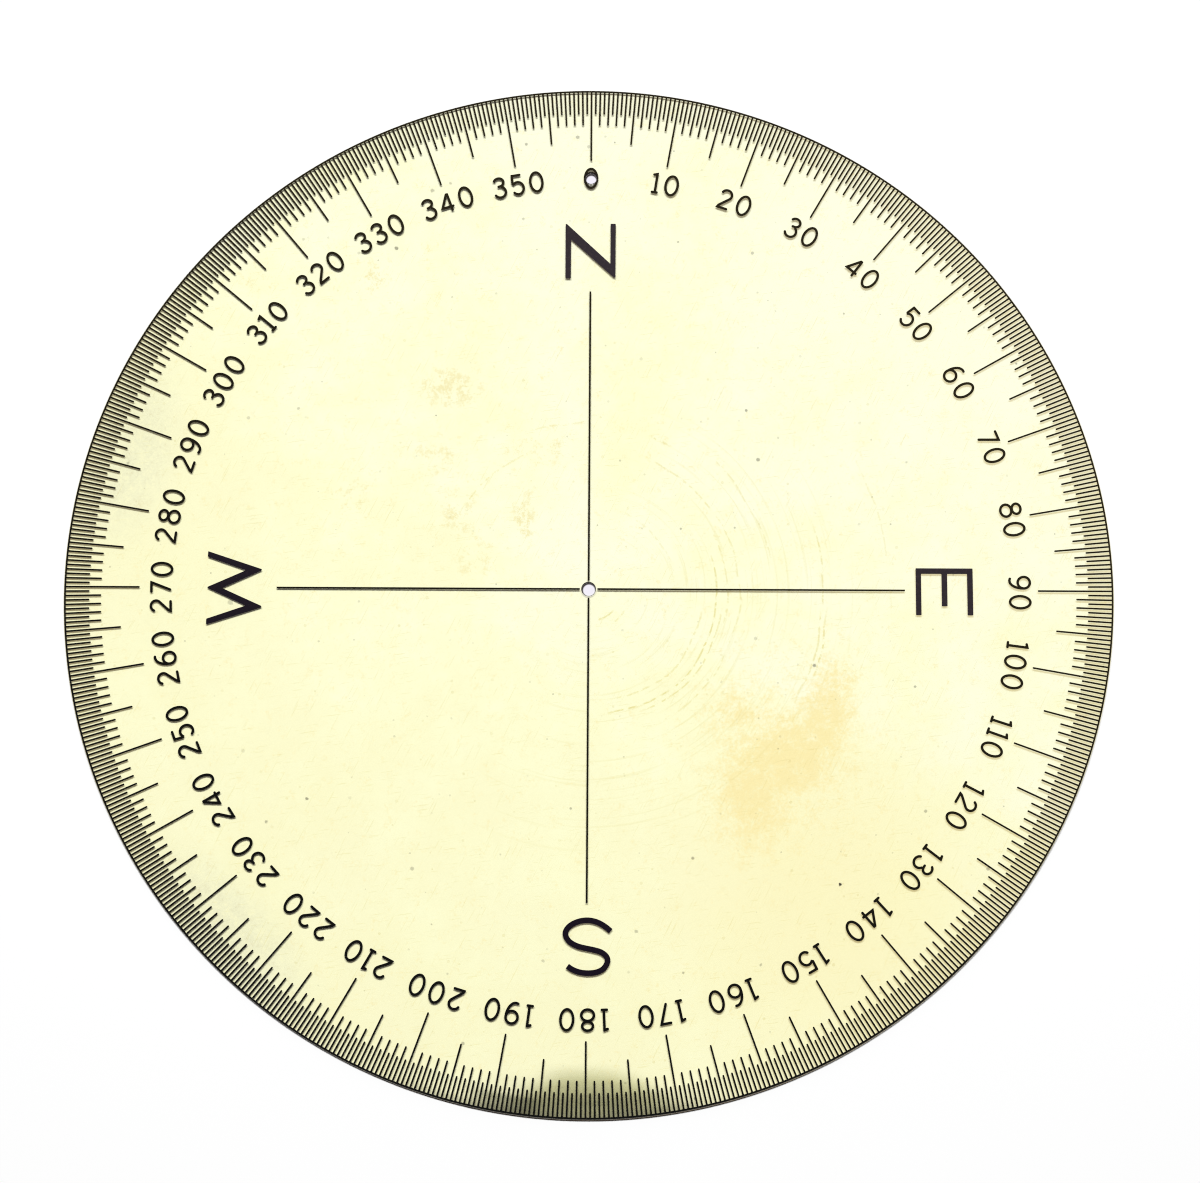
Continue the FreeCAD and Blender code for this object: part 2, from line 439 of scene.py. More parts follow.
LETTER_N = [
    (-4.95, 62.55), (-3.87, 62.55), (-3.87, 70.55), (4.62, 62.75), (4.93, 62.75),
    (4.95, 73.85), (3.92, 73.85), (3.92, 65.6), (-4.75, 73.8), (-4.97, 73.8),
]
LETTER_E = [
    (-4.4, 63.3), (4.87, 63.3), (4.87, 64.35), (-3.3, 64.35), (-3.3, 68.3), (3.1, 68.3),
    (3.1, 69.4), (-3.3, 69.4), (-3.3, 73.25), (4.87, 73.25), (4.87, 74.35), (-4.4, 74.35),
]
LETTER_S = [
    (3.6, 72.85), (2.6, 73.5), (1.2, 74.0), (-0.4, 74.15), (-2.0, 73.95), (-3.3, 73.25),
    (-4.0, 72.0), (-3.75, 70.95), (-2.7, 70.15), (-1.1, 69.7), (0.4, 69.4), (2.0, 68.95),
    (3.35, 68.1), (4.0, 66.9), (3.7, 65.8), (2.7, 64.9), (1.2, 64.3), (-0.4, 64.15),
    (-2.0, 64.5), (-3.4, 65.25), (-4.6, 66.2),
]
LETTER_W = [
    (-7.35, 73.85), (-6.2, 73.85), (-3.58, 66.3), (-0.14, 73.8), (0.08, 73.8), (3.4, 66.4),
    (6.0, 73.85), (7.15, 73.85), (3.64, 63.35), (3.38, 63.35), (-0.15, 70.95), (-3.64, 63.25),
    (-3.9, 63.25),
]
LETTER_S_WIDTH = 1.08 * mm


def make_letter(name, outline, angle):
    return filled_outline(name, turned(at_ink_bottom(outline), angle))


def smooth_through(points, pieces=3):
    """More points on a smooth curve through these."""
    line = [points[0] * 2 - points[1], *points, points[-1] * 2 - points[-2]]
    smooth = [points[0]]
    for before, here, there, after in zip(line, line[1:], line[2:], line[3:]):
        for k in range(1, pieces + 1):
            t = k / pieces
            smooth.append(
                here
                + (there - before) * (t / 2)
                + (before * 2 - here * 5 + there * 4 - after) * (t * t / 2)
                + (here * 3 - before - there * 3 + after) * (t * t * t / 2)
            )
    return smooth


def make_letter_s():
    points = smooth_through(turned(at_ink_bottom(LETTER_S), 180))
    return plain_stroke("letter_S", points, LETTER_S_WIDTH)


def make_letters():
    return [
        make_letter("letter_N", LETTER_N, 0),
        make_letter("letter_E", LETTER_E, 90),
        make_letter_s(),
        make_letter("letter_W", LETTER_W, 270),
    ]


# Materials: short ways to add nodes, then the finishes of this disc. They measure in
# millimetres. A patch is so tall that it doesn't matter how high a point lies.

RIM = RADIUS / mm
PATCH_HEIGHT = 1000
PLASTIC_IOR = 1.49


class Finish:
    """A material under construction, with short ways to add and join its nodes."""

    def __init__(self, name):
        self.material = bpy.data.materials.new(name)
        self.material.use_nodes = True
        self.nodes = self.material.node_tree.nodes
        self.links = self.material.node_tree.links
        self.nodes.clear()

    def add(self, kind, inputs=None, **settings):
        node = self.nodes.new("ShaderNode" + kind)
        for name, value in settings.items():
            setattr(node, name, value)
        for socket, value in (inputs or {}).items():
            if isinstance(value, bpy.types.Node):
                value = value.outputs[0]
            if isinstance(value, bpy.types.NodeSocket):
                self.links.new(value, node.inputs[socket])
            else:
                node.inputs[socket].default_value = value
        return node

    def calc(self, operation, *values):
        """One sum worked out over all the values, from the first to the last."""
        result = values[0]
        for value in values[1:]:
            result = self.add("Math", {0: result, 1: value}, operation=operation)
        return result

    def total(self, *values):
        return self.calc("ADD", *values)

    def product(self, *values):
        return self.calc("MULTIPLY", *values)

    def most(self, *values):
        return self.calc("MAXIMUM", *values)

    def unsigned(self, value):
        return self.add("Math", {0: value}, operation="ABSOLUTE")

    def swing(self, noise, amount):
        """Noise about a half, as a swing about nought."""
        return self.product(self.calc("SUBTRACT", noise, 0.5), amount)

    def between(self, value, low, high):
        """Nought at low, one at high, and a smooth climb from one to the other."""
        limits = {"Value": value, "From Min": low, "From Max": high}
        return self.add("MapRange", limits, interpolation_type="SMOOTHSTEP")

    def blend(self, amount, under, over, how="MIX"):
        """One colour laid over another by this amount."""
        inputs = {0: amount, 6: under, 7: over}
        return self.add("Mix", inputs, data_type="RGBA", blend_type=how).outputs[2]

    def darken(self, amount, under, over):
        """One colour multiplied by another by this amount."""
        return self.blend(amount, under, over, "MULTIPLY")

    def place(self):
        """Where a point lies on the disc, in millimetres."""
        where = self.add("TexCoord").outputs["Object"]
        return self.add("VectorMath", {0: where, "Scale": 1 / mm}, operation="SCALE")

    def axes(self, place):
        """How far to the east and to the north a point lies, and how high."""
        separate = self.add("SeparateXYZ", {0: place})
        return separate.outputs["X"], separate.outputs["Y"], separate.outputs["Z"]

    def cloud(self, place, size, detail=3, roughness=0.5):
        """Noise about this many millimetres across, the same through the sheet's thickness."""
        inputs = {"Vector": place, "Scale": 1 / size, "Detail": detail, "Roughness": roughness}
        return self.add("TexNoise", inputs, noise_dimensions="2D")

    def distance(self, place, x, y, z=0):
        away = self.add("VectorMath", {0: place, 1: (x, y, z)}, operation="DISTANCE")
        return away.outputs["Value"]

    def patch(self, place, middle, halves, turn, soft):
        """One inside an oval of these half sizes, falling to nought at its edge."""
        inputs = {
            "Vector": place, "Location": (*middle, 0), "Scale": (*halves, PATCH_HEIGHT),
            "Rotation": (0, 0, math.radians(turn)),
        }
        local = self.add("Mapping", inputs, vector_type="TEXTURE")
        away = self.add("VectorMath", {0: local}, operation="LENGTH").outputs["Value"]
        return self.between(away, 1, 1 - soft)

    def patches(self, place, rows, soft=0.9):
        """The strongest of several soft patches: place, half sizes, turn and strength of each."""
        return self.most(*(
            self.product(self.patch(place, (x, y), (wide, high), turn, soft), strength)
            for x, y, wide, high, turn, strength in rows
        ))

    def relief(self, height, strength, distance):
        return self.add("Bump", {"Height": height, "Strength": strength, "Distance": distance})

    def seen_and_lit_through(self, seen, light):
        """One shader for what is looked at, and a tint for light on its way to the paper."""
        path = self.add("LightPath")
        let_through = self.add("BsdfTransparent", {"Color": light})
        shader = seen
        for ray in ("Is Shadow Ray", "Is Diffuse Ray"):
            shader = self.add("MixShader", {0: path.outputs[ray], 1: shader, 2: let_through})
        return self.shaded(shader)

    def shaded(self, shader):
        self.add("OutputMaterial", {"Surface": shader})
        return self.material


def solid(*colour):
    return (*colour, 1)


# The sheet's patina, with some painted shade. Colours are what is left of white light that has come
# through it.

DEEP_YELLOW = solid(0.935, 0.918, 0.705)
ORANGE_YELLOW = solid(0.94, 0.893, 0.64)
MIDDLE_YELLOW = solid(0.955, 0.956, 0.765)
PALE_YELLOW = solid(0.96, 0.966, 0.89)
AMBER = solid(0.93, 0.815, 0.49)
RUST = solid(0.88, 0.82, 0.56)
GREY_GREEN = solid(0.845, 0.865, 0.95)
FLECK = solid(0.78, 0.72, 0.5)
OLIVE = solid(0.62, 0.62, 0.5)
DARK_OLIVE = solid(0.42, 0.42, 0.375)
SOUTH_GREY = solid(0.6, 0.6, 0.57)
DIRT_AND_SHADE = solid(0.04, 0.032, 0.022)
SCRATCH_BROWN = solid(0.86, 0.81, 0.58)
LET_THROUGH = solid(1.0, 0.998, 0.95)

# The yellow cast comes through both faces, so the top one's colour counts for two

THROUGH_BOTH_FACES = 2.0

# Patches of the patina: place and half sizes in millimetres, turn in degrees, strength

AMBER_PATCHES = (
    (31, -41, 10, 16, 0, 1.0), (38, -33, 17, 11, 22, 1.0), (46, -24, 7.5, 18, -12, 1.0),
    (28, -24, 9, 8, 0, 0.6),
)
AMBER_HALO = ((38, -33, 30, 32, 0, 0.65),)
RUSTY_STAINS = (
    (-27.5, 40.2, 10, 7, 0, 1.0), (-43, 62.4, 6, 5, 0, 0.8), (-45.5, 19.5, 5, 10, 0, 0.6),
    (-29.8, 25.8, 8, 8, 0, 0.6), (-25.4, 14.2, 6, 8, 0, 0.8), (-12.6, 13.8, 3.5, 8, 0, 1.0),
    (-21.9, 5.5, 6, 8, 0, 0.6), (-9.5, 28, 9, 4, 0, 0.7), (-54.8, 6.1, 5, 5, 0, 0.4),
    (-65, 62.4, 7, 5, 0, 0.6),
)
GREY_PATCHES = ((-90, 27, 13, 26, -14, 1.0), (-68, -66, 11, 28, 45, 1.0))
SOUTH_OLIVE = ((1, -105, 20, 14.5, 0, 1.0),)
SOUTH_FOOT = ((1, -106, 24, 13, 0, 1.0),)
BESIDE_FOOT = (
    (16, -100.5, 15, 6, 0, 0.5), (-14, -97, 12, 5.5, 0, 0.2), (-5.5, -93.5, 6, 3, 0, 0.14),
)
SOUTH_STREAK = ((-14.5, -98, 9.5, 8, 0, 1.0),)

# Where a pencil compass has scored the sheet: radius in millimetres, from and to which
# angle, clockwise from the zero, and how deep

COMPASS_SCORES = (
    (5.8, 128, 168, 0.9), (7.6, 112, 150, 0.6), (16.5, 20, 75, 0.4), (21.5, 95, 172, 0.6),
    (24.2, 70, 176, 1.0), (25.4, 95, 160, 0.8), (26.3, 60, 110, 0.6), (28.6, 20, 150, 0.6),
    (32.6, 17, 33, 1.0), (35.2, 38, 86, 0.6), (44.8, 70, 122, 0.8), (45.8, 92, 116, 1.0),
    (51.0, 96, 108, 0.5), (57.6, 60, 98, 0.4), (30.2, -62, -22, 0.6), (34.0, -24, 6, 0.5),
)
SCORE_FADE = 10

# Specks stuck to the sheet, and a few spots of painted shade by the holes: place and radius in
# millimetres, and how dark each is

SPECKS_AND_SHADE_SPOTS = (
    (48.1, -57.1, 0.3, 1.0), (-38.4, 68.6, 0.4, 0.6), (-53.6, -41.2, 0.3, 0.6),
    (-61.3, -45.7, 0.3, 0.5), (-2.7, 91.8, 0.4, 0.45), (2.8, 92.0, 0.25, 0.2),
    (-13.4, 74.8, 0.3, 0.3), (-31.5, 80.6, 0.4, 0.4), (-27.9, 82.1, 0.3, 0.35),
    (33.0, -72.4, 0.3, 0.4), (-8.2, -71.9, 0.3, 0.3), (9.4, -66.2, 0.35, 0.4),
    # The last four are spots of painted shade beside the holes: one at the foot of the north line
    # by the centre hole, which stands for shadow, and three along the zero hole's south edge, which
    # stand for its dirty wall and shadow seen through the sheet
    (43.6, -14.8, 0.35, 0.6), (-69.3, -3.0, 0.5, 0.3), (-0.05, 1.65, 0.15, 0.9),
    (0.0, 81.75, 0.4, 0.7), (-0.6, 81.95, 0.3, 0.8), (0.6, 81.95, 0.3, 0.8),
)


def yellowing(finish, place, radius, east, north):
    """Paler to the north-east and in the middle, deeper to the south-west, and cloudy."""
    drift = finish.total(
        finish.product(east, 0.6), finish.product(north, 0.8),
        finish.product(finish.between(radius, 26, 8), 55),
        finish.swing(finish.cloud(place, 34), 150),
        finish.swing(finish.cloud(place, 13, 2), 120),
        finish.swing(finish.cloud(place, 4, 4, 0.7), 110),
    )
    ramp = finish.add("ValToRGB", {"Fac": finish.between(drift, -140, 120)})
    ramp.color_ramp.elements[0].color = DEEP_YELLOW
    ramp.color_ramp.elements[1].color = PALE_YELLOW
    ramp.color_ramp.elements.new(0.5).color = MIDDLE_YELLOW
    deeper = finish.patch(place, (-88, 22), (36, 62), 0, 0.9)
    tint = finish.blend(finish.product(deeper, 0.75), ramp, DEEP_YELLOW)
    orange = finish.patch(place, (46, -62), (50, 48), 0, 0.9)
    return finish.blend(finish.product(orange, 0.9), tint, ORANGE_YELLOW)


def stained(finish, place, tint, fine, middling):
    """Amber patches to the south-east, rusty stains to the north-west, and flecks."""
    amber = finish.total(
        finish.patches(place, AMBER_PATCHES), finish.patches(place, AMBER_HALO, soft=1),
        finish.swing(fine, 2.0), finish.swing(middling, 2.6),
    )
    amber = finish.product(finish.between(amber, 0.1, 1.7), 0.95)
    tint = finish.blend(amber, tint, AMBER)

    stains = finish.patches(place, RUSTY_STAINS)
    rusty = finish.total(middling, finish.swing(fine, 0.5), finish.product(stains, 0.16))
    rusty = finish.product(finish.between(rusty, 0.56, 0.8), finish.total(stains, 0.15))
    tint = finish.blend(rusty, tint, RUST)

    flecks = finish.product(scattered_dots(finish, place, 2.6, 0.3, 0.3), 0.4)
    return finish.darken(flecks, tint, FLECK)


def grimed(finish, place, tint, fine, middling, broad):
    """Grey patches to the west, and darker olive patches and a greyer band at the south, thinning
    out right at the rim, with painted shade along the south lip, away from the lamp.
    """
    east, north, _ = finish.axes(place)
    streaked = finish.total(finish.swing(middling, 1.6), finish.swing(fine, 1.2), 0.5)
    grey = finish.product(finish.patches(place, GREY_PATCHES, soft=0.8), streaked)
    tint = finish.darken(grey, tint, GREY_GREEN)

    radius = finish.distance(place, 0, 0)
    thinning = finish.between(radius, RIM + 4.4, RIM - 3.9)
    olive = finish.patches(place, SOUTH_OLIVE, soft=0.3)
    tint = finish.darken(finish.product(olive, thinning), tint, OLIVE)
    foot = finish.product(finish.patches(place, SOUTH_FOOT, soft=0.5), finish.total(broad, 0.5))
    tint = finish.darken(finish.product(foot, thinning), tint, DARK_OLIVE)
    beside = finish.patches(place, BESIDE_FOOT)
    tint = finish.darken(finish.product(beside, thinning), tint, DARK_OLIVE)

    streak = finish.patches(place, SOUTH_STREAK, soft=0.7)
    streak = finish.product(streak, finish.between(radius, RIM - 4.3, RIM - 2.8))
    tint = finish.darken(streak, tint, DARK_OLIVE)
    aside = finish.total(finish.unsigned(finish.total(east, 6)), finish.product(broad, 14))
    greyed_band = finish.product(
        finish.between(radius, RIM - 2.2, RIM - 0.4), finish.between(north, -80, -95),
        finish.between(aside, 42, 26),
    )
    tint = finish.darken(greyed_band, tint, SOUTH_GREY)
    # Painted shade: the outermost edge of the printed face is darkened on the south, the side away
    # from the lamp, for the shade of the sheet's edge
    lip = finish.between(radius, RIM - 0.3, RIM - 0.18)
    lip = finish.product(lip, finish.between(north, -30, -75))
    return finish.darken(lip, tint, DIRT_AND_SHADE)


def compass_scores(finish, place, radius, angle):
    """Fine broken arcs about the centre, where a compass has turned on the sheet."""
    broken = finish.between(finish.cloud(place, 1.3, 2, 0.6), 0.36, 0.56)
    radius = finish.total(radius, finish.swing(finish.cloud(place, 12, 1), 1.6))
    scores = []
    for wanted, start, end, strength in COMPASS_SCORES:
        line = finish.between(finish.unsigned(finish.calc("SUBTRACT", radius, wanted)), 0.28, 0.06)
        reach = finish.product(
            finish.between(angle, start, start + SCORE_FADE),
            finish.between(angle, end, end - SCORE_FADE),
        )
        scores.append(finish.product(line, reach, strength))
    return finish.product(finish.most(*scores), broken)


def ring_scuffs(finish, radius, angle, east, north):
    """Faint rings of wear about the centre, strongest to the east and south."""
    along = finish.add("CombineXYZ", {
        "X": finish.product(radius, 1.3), "Y": finish.product(angle, 0.02),
    })
    inputs = {"Vector": along, "Scale": 1.0, "Detail": 2, "Roughness": 0.6}
    rings = finish.between(finish.add("TexNoise", inputs, noise_dimensions="2D"), 0.56, 0.76)
    window = finish.product(
        finish.between(radius, 5, 10), finish.between(radius, 62, 34),
        finish.between(finish.total(east, finish.product(north, -0.5)), -14, 20),
    )
    return finish.product(rings, window)


def hairlines(finish, place, turn, length, spacing):
    """Short fine scratches that all run nearly one way."""
    inputs = {
        "Vector": place, "Scale": (length, spacing, 1), "Rotation": (0, 0, math.radians(turn)),
    }
    drawn_out = finish.add("Mapping", inputs, vector_type="TEXTURE")
    inputs = {"Vector": drawn_out, "Scale": 1.0, "Detail": 1}
    return finish.between(finish.add("TexNoise", inputs, noise_dimensions="2D"), 0.7, 0.8)


def scattered_dots(finish, place, spacing, largest, share):
    """Round dots scattered over the sheet, in this share of squares of this spacing."""
    inputs = {"Vector": place, "Scale": 1 / spacing, "Randomness": 1}
    dots = finish.add("TexVoronoi", inputs, voronoi_dimensions="2D")
    chance = finish.add("SeparateColor", {0: dots.outputs["Color"]})
    size = finish.product(chance.outputs[0], chance.outputs[0], largest / spacing)
    inside = finish.between(finish.calc("SUBTRACT", dots.outputs["Distance"], size), 0.02, 0)
    chosen = finish.calc("LESS_THAN", chance.outputs[1], share)
    return finish.product(inside, chosen, chance.outputs[2])


def listed_specks(finish, place, grain):
    """Specks of the list on the printed face, and spots of painted shade, each with a ragged edge.
    """
    ragged = finish.product(grain, 0.5)
    specks_and_shade = []
    for x, y, radius, strength in SPECKS_AND_SHADE_SPOTS:
        away = finish.total(finish.distance(place, x, y, THICKNESS / mm), ragged)
        specks_and_shade.append(finish.product(finish.between(away, radius + 0.35, radius + 0.1), strength))
    return finish.most(*specks_and_shade)


def patina(finish, place):
    """What the sheet's yellow, stains, scratches, dirt and painted shade leave of white
    light, its scratches, and the broad cloud that the darker patches at the south follow."""
    east, north, _ = finish.axes(place)
    radius = finish.distance(place, 0.6, -0.4)
    angle = finish.product(finish.calc("ARCTAN2", east, north), math.degrees(1))
    fine = finish.cloud(place, 0.6, 3, 0.7)
    middling = finish.cloud(place, 2.6, 5, 0.7)
    broad = finish.cloud(place, 9, 4, 0.6)
    tint = yellowing(finish, place, radius, east, north)
    tint = stained(finish, place, tint, fine, middling)
    tint = grimed(finish, place, tint, fine, middling, broad)
    scratched = finish.most(
        compass_scores(finish, place, radius, angle),
        finish.product(ring_scuffs(finish, radius, angle, east, north), 0.35),
        finish.product(hairlines(finish, place, 8, 5, 0.22), 0.4),
        finish.product(hairlines(finish, place, 64, 7, 0.25), 0.4),
    )
    tint = finish.darken(scratched, tint, SCRATCH_BROWN)
    specks_and_shade = finish.most(
        listed_specks(finish, place, fine),
        finish.product(scattered_dots(finish, place, 11, 0.26, 0.4), 0.6),
        finish.product(scattered_dots(finish, place, 3.7, 0.2, 0.3), 0.25),
    )
    return finish.darken(specks_and_shade, tint, DIRT_AND_SHADE), scratched, broad


def printed_face_material():
    """The sheet's printed face, which carries all the patina of its age and use, and painted shade
    along its south lip and beside the holes.
    """
    finish = Finish("yellowed_printed_face")
    place = finish.place()
    tint, scratched, broad = patina(finish, place)
    ripple = finish.product(finish.cloud(place, 18, 1), 0.02)
    scuffed = finish.product(finish.between(broad, 0.45, 0.75), 0.04)
    clear = finish.add("BsdfPrincipled", {
        "Base Color": finish.add("Gamma", {0: tint, 1: THROUGH_BOTH_FACES}),
        "Roughness": finish.total(scuffed, finish.product(scratched, 0.2), 0.03),
        "IOR": PLASTIC_IOR, "Transmission Weight": 1.0,
        "Normal": finish.relief(ripple, 0.35, mm),
    })
    return finish.seen_and_lit_through(clear, LET_THROUGH)


# The cleaner underside and the scraped edge. The last pair is what the edge leaves of
# light on its way to the paper, at the side away from the lamp and towards it.

UNDERSIDE_YELLOWS = solid(1, 0.995, 0.76), solid(1, 0.995, 0.84)
UNDERSIDE_SCRATCH = solid(0.93, 0.92, 0.9)
# The edge's painted shade, brown and dark, away from the lamp, and its painted light where it faces
# the lamp
SHADED_EDGE_BROWNS = solid(0.022, 0.016, 0.01), solid(0.05, 0.035, 0.02)
LIT_EDGE_COLOUR = solid(0.94, 0.93, 0.78)
EDGE_LIGHT = solid(0.005, 0.004, 0.003), solid(0.98, 0.97, 0.9)


def underside_material():
    """The sheet's plain face, cleaner, but scratched by the charts it has slid over."""
    finish = Finish("yellowed_underside")
    place = finish.place()
    scratched = finish.most(
        hairlines(finish, place, 20, 9, 0.3), hairlines(finish, place, -50, 6, 0.3)
    )
    tint = finish.blend(finish.cloud(place, 22, 2), *UNDERSIDE_YELLOWS)
    tint = finish.darken(finish.product(scratched, 0.5), tint, UNDERSIDE_SCRATCH)
    ripple = finish.product(finish.cloud(place, 25, 1), 0.02)
    clear = finish.add("BsdfPrincipled", {
        "Base Color": tint, "Roughness": finish.total(finish.product(scratched, 0.2), 0.03),
        "IOR": PLASTIC_IOR, "Transmission Weight": 1.0,
        "Normal": finish.relief(ripple, 0.3, mm),
    })
    return finish.seen_and_lit_through(clear, LET_THROUGH)


def edge_material():
    """The sheet's scraped edge, with painted light where it faces the lamp and painted shade, brown
    and dark, at the far side.
    """
    finish = Finish("scraped_sheet_edge")
    place = finish.place()
    north = finish.axes(place)[1]
    toward_lamp = finish.between(north, -70, 30)
    tool_marks = finish.cloud(place, 0.35, 3, 0.6)
    # Painted light and shade: the edge's colour runs from dark brown away from the lamp to bright
    # towards it
    tint = finish.blend(finish.cloud(place, 6), *SHADED_EDGE_BROWNS)
    tint = finish.blend(toward_lamp, tint, LIT_EDGE_COLOUR)
    clear = finish.add("BsdfPrincipled", {
        "Base Color": tint, "Roughness": finish.total(finish.product(tool_marks, 0.2), 0.1),
        "IOR": PLASTIC_IOR, "Specular IOR Level": 0.2, "Transmission Weight": 1.0,
        "Normal": finish.relief(tool_marks, 0.3, 0.05 * mm),
    })
    return finish.seen_and_lit_through(clear, finish.blend(toward_lamp, *EDGE_LIGHT))


# The holes' walls

BARE_WALL = solid(0.4, 0.36, 0.38)
WALL_GRIME_AND_SHADE = solid(0.012, 0.009, 0.007)
WALL_SHADE = solid(0.6, 0.58, 0.62)

# A point further north than this belongs to the zero hole, whose place along the
# slope of the painted shade, and whose bevel's extra depth, are then taken off

BETWEEN_HOLES = 40
ZERO_ALONG_SLOPE = 66.6
ZERO_DEEPER = 0.4


def hole_material():
    """The holes' walls, drilled rough, with dirt caked in the bevel, and painted shade darkening
    the north side of each, which faces away from the lamp.
    """
    finish = Finish("grimy_and_shaded_hole_wall")
    place = finish.place()
    east, north, height = finish.axes(place)
    at_zero = finish.calc("GREATER_THAN", north, BETWEEN_HOLES)
    # Painted shade: the wall darkens towards its north side, which faces away from the lamp
    local = finish.total(
        finish.product(north, 0.8), finish.product(east, -0.6),
        finish.product(at_zero, -ZERO_ALONG_SLOPE),
    )
    rough = finish.cloud(place, 0.3, 3, 0.6)
    above = finish.total(height, finish.product(at_zero, -ZERO_DEEPER))
    grime_and_shade = finish.total(
        finish.product(finish.between(above, 0.2, 0.5), 0.7),
        finish.product(finish.between(local, -1.1, 0.5), 0.6), finish.swing(rough, 0.5),
    )
    wall = finish.add("BsdfPrincipled", {
        "Base Color": finish.blend(finish.between(grime_and_shade, 0.3, 0.85), BARE_WALL, WALL_GRIME_AND_SHADE),
        "Roughness": finish.total(finish.product(rough, 0.3), 0.4),
        "Specular IOR Level": 0.1, "Normal": finish.relief(rough, 0.3, 0.05 * mm),
    })
    return finish.seen_and_lit_through(wall, WALL_SHADE)


# Printing inks: their colour away from the lamp and, lighter with a painted sheen, towards
# it, and what their film leaves of light where it is thick and thin

LINE_INK_AND_SHEEN = solid(0.0006, 0.0006, 0.0003), solid(0.014, 0.011, 0.005)
LETTER_INK_AND_SHEEN = solid(0.004, 0.002, 0.006), solid(0.03, 0.024, 0.028)
INK_LIGHT = solid(0.12, 0.09, 0.05), solid(0.93, 0.88, 0.78)
INK_MOTTLE = solid(1.5, 1.4, 1.3)
WORN_INK = solid(0.16, 0.13, 0.08)


def ink_material(name, away_from_lamp, toward_lamp):
    """Printing ink, with a painted sheen that leaves it duller where the lamp skims it. Its thin
    film lets a little light by.
    """
    finish = Finish(name)
    place = finish.place()
    east, north, _ = finish.axes(place)
    # Painted sheen: the ink is lighter towards the lamp, to the north and east
    sheen_share = finish.total(finish.product(east, 0.5), finish.product(north, 0.86))
    colour = finish.blend(finish.between(sheen_share, -75, 80), away_from_lamp, toward_lamp)
    uneven = finish.cloud(place, 0.8, 3, 0.7)
    colour = finish.darken(finish.between(uneven, 0.45, 0.8), colour, INK_MOTTLE)
    worn = finish.product(finish.between(finish.cloud(place, 0.3, 2), 0.68, 0.78), 0.1)
    ink = finish.add("BsdfPrincipled", {
        "Base Color": finish.blend(worn, colour, WORN_INK),
        "Roughness": finish.total(finish.product(uneven, 0.3), 0.35),
        "Specular IOR Level": 0.08, "Normal": finish.relief(uneven, 0.25, 0.02 * mm),
    })
    thin = finish.total(
        finish.product(finish.between(east, -40, 85), 0.9),
        finish.product(finish.between(east, -66, -97), 0.5),
    )
    return finish.seen_and_lit_through(ink, finish.blend(thin, *INK_LIGHT))


# The paper: its colours with painted shade and shadow, and where it shows in the two holes,
# as the place and the inner and outer radius of each hole's ring of painted shadow in millimetres

PAPER_WHITE = solid(0.965, 0.965, 0.965)
PAPER_AS_LIGHT = solid(0.85, 0.85, 0.85)
PAPER_THROUGH_SHEET = solid(1.0, 1.0, 1.0)
PAPER_SHADE_MAUVE = solid(0.86, 0.83, 0.905)
PAPER_SHADOW_DARK = solid(0.06, 0.05, 0.05)
PAPER_SHADOW_BROWN = solid(0.57, 0.48, 0.4)
HOLE_CENTRES = (0.15, 83.2)
HOLE_SHADOW_RINGS = ((0.08, -0.02, 1.02, 1.32), (0.05, 83.2, 0.84, 1.15))


def paper_material():
    """White paper with painted shade: a little mauve down in the holes, a dark ring of painted
    shadow at each hole's edge, and brown painted shadow close under the south rim. Seen
    through the sheet it makes up for what the sheet's two faces mirror away."""
    finish = Finish("white_paper")
    path = finish.add("LightPath")
    place = finish.place()
    # Painted shade: the paper down in the holes is greyed to mauve
    holes = [finish.between(finish.distance(place, 0, y), 1.5, 0.9) for y in HOLE_CENTRES]
    seen = finish.blend(finish.most(*holes), PAPER_WHITE, PAPER_SHADE_MAUVE)
    # Painted shadow: a dark ring on the paper at each hole's edge, under its wall
    rings = []
    for x, y, inner, outer in HOLE_SHADOW_RINGS:
        away = finish.distance(place, x, y)
        rings.append(finish.product(finish.between(away, inner, outer), finish.between(away, 3, 2)))
    seen = finish.blend(finish.most(*rings), seen, PAPER_SHADOW_DARK)
    # Painted shadow: the paper just outside the south rim is painted brown where the sheet's edge
    # shades it from the lamp
    north = finish.axes(place)[1]
    rim_shadow_share = finish.between(finish.distance(place, 0, 0), RIM + 0.25, RIM + 0.1)
    rim_shadow_share = finish.product(rim_shadow_share, finish.between(north, -86, -100))
    seen = finish.blend(rim_shadow_share, seen, PAPER_SHADOW_BROWN)
    seen = finish.blend(path.outputs["Is Camera Ray"], PAPER_AS_LIGHT, seen)
    seen = finish.blend(path.outputs["Is Transmission Ray"], seen, PAPER_THROUGH_SHEET)
    return finish.shaded(finish.add("BsdfDiffuse", {"Color": seen}))


# The stage: white paper, a lamp to the north, and the camera where the photograph's
# stood, in metres and degrees

PAPER_SIZE = 6
WEST_GAP = 0.02 * mm
EAST_GAP = 0.4 * mm
LAMP_DISTANCE = 1.6
LAMP_SIZES = (0.7, 0.24)
LAMP_TILT = 9
LAMP_POWER = 26
SKY_LEVEL = 0.08

CAMERA_PLACE = Vector((4.35, -130.04, 631.05)) * mm
CAMERA_RIGHT = Vector((0.99998, 0.00523, -0.00232))
CAMERA_UP = Vector((-0.00466, 0.97949, 0.20143))
CAMERA_LENS_MM = 99.73
CAMERA_SENSOR_MM = 36
CAMERA_NEAREST = 0.01
PIXEL_FILTER_WIDTH = 1.1


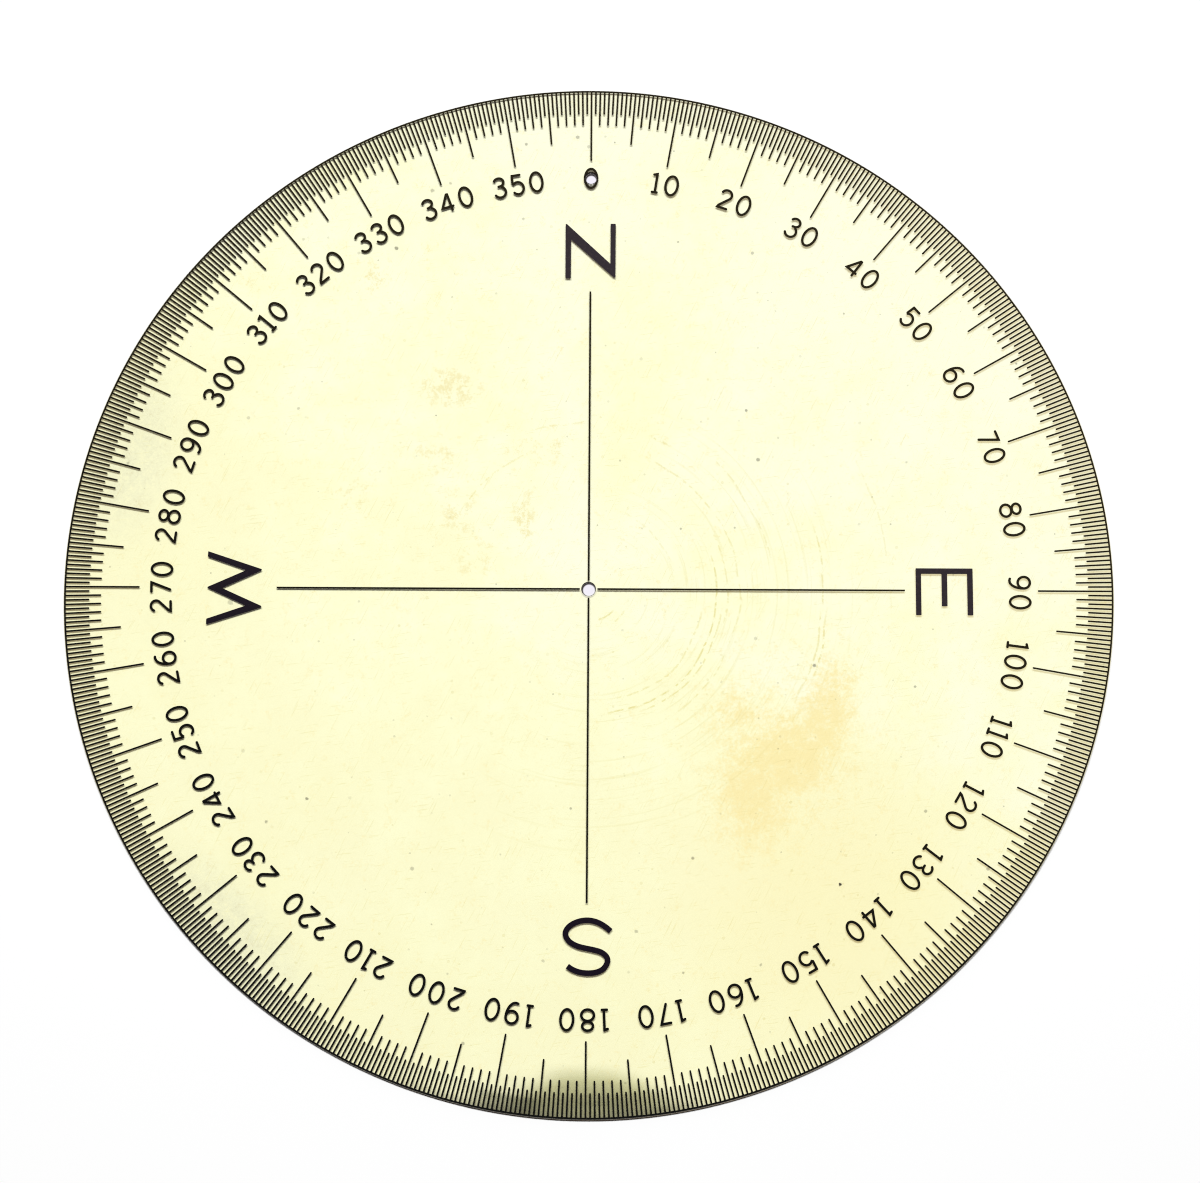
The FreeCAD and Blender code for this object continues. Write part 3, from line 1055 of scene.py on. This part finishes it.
def make_paper():
    """The paper falls away a little to the east, where the old sheet has lifted off it."""
    deselect_all()
    slope = math.atan((EAST_GAP - WEST_GAP) / (2 * RADIUS))
    middle = (0, 0, -(WEST_GAP + EAST_GAP) / 2)
    bpy.ops.mesh.primitive_plane_add(size=PAPER_SIZE, location=middle, rotation=(0, slope, 0))
    paper = bpy.context.object
    paper.name = "paper_floor"
    bpy.ops.object.transform_apply(location=True, rotation=True)
    paper.data.materials.append(paper_material())


def make_sky(tree):
    """Plain white where it is seen or mirrored, and dim as a light."""
    background = tree.nodes["Background"]
    background.inputs["Color"].default_value = (1, 1, 1, 1)
    path = tree.nodes.new("ShaderNodeLightPath")
    seen = path.outputs["Is Camera Ray"]
    for ray in ("Is Glossy Ray", "Is Transmission Ray"):
        either = tree.nodes.new("ShaderNodeMath")
        either.operation = "MAXIMUM"
        tree.links.new(seen, either.inputs[0])
        tree.links.new(path.outputs[ray], either.inputs[1])
        seen = either.outputs[0]
    strength = tree.nodes.new("ShaderNodeMath")
    strength.operation = "MAXIMUM"
    strength.inputs[1].default_value = SKY_LEVEL
    tree.links.new(seen, strength.inputs[0])
    tree.links.new(strength.outputs[0], background.inputs["Strength"])


def make_lights():
    scene = bpy.context.scene
    scene.world = bpy.data.worlds.new("studio")
    scene.world.use_nodes = True
    make_sky(scene.world.node_tree)
    tilt = math.radians(LAMP_TILT)
    place = Vector((0, math.sin(tilt), math.cos(tilt))) * LAMP_DISTANCE
    bpy.ops.object.light_add(type="AREA", location=place, rotation=(-tilt, 0, 0))
    lamp = bpy.context.object
    lamp.data.shape = "ELLIPSE"
    lamp.data.size, lamp.data.size_y = LAMP_SIZES
    lamp.data.energy = LAMP_POWER
    lamp.visible_glossy = False
    lamp.visible_transmission = False


def make_camera():
    scene = bpy.context.scene
    data = bpy.data.cameras.new("camera")
    data.lens = CAMERA_LENS_MM
    data.sensor_width = CAMERA_SENSOR_MM
    data.sensor_fit = "HORIZONTAL"
    data.clip_start = CAMERA_NEAREST
    camera = bpy.data.objects.new("camera", data)
    scene.collection.objects.link(camera)
    back = CAMERA_RIGHT.cross(CAMERA_UP).normalized()
    turn = Matrix((CAMERA_RIGHT, CAMERA_UP, back)).transposed()
    camera.matrix_world = Matrix.Translation(CAMERA_PLACE) @ turn.to_4x4()
    scene.camera = camera
    scene.cycles.filter_width = PIXEL_FILTER_WIDTH


# The sheet with its four finishes

make_camera()

sheet = make_sheet()
for finish in (printed_face_material, underside_material, edge_material, hole_material):
    sheet.data.materials.append(finish())
for polygon in sheet.data.polygons:
    polygon.material_index = face_kind(polygon)
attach(sheet, "root")
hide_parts("disc")

# The print, and the lines that stay as the frame has them

line_ink = ink_material("black_line_ink", *LINE_INK_AND_SHEEN)
letter_ink = ink_material("black_letter_ink", *LETTER_INK_AND_SHEEN)

scale = []
for kind in MARK_KINDS:
    marks = make_marks(*kind)
    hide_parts(kind[0] + "_marks")
    scale.append(marks)
numerals = make_numerals()
letters = make_letters()

for piece in scale + numerals + letters:
    piece.data.materials.clear()
    piece.data.materials.append(letter_ink if piece in letters else line_ink)
    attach(piece, "root")
for name in ("rim_line", "north_line", "east_line", "south_line", "west_line"):
    frame["nodes"][name].data.materials.clear()
    frame["nodes"][name].data.materials.append(line_ink)

make_paper()
make_lights()

bpy.context.scene.view_settings.view_transform = "Standard"
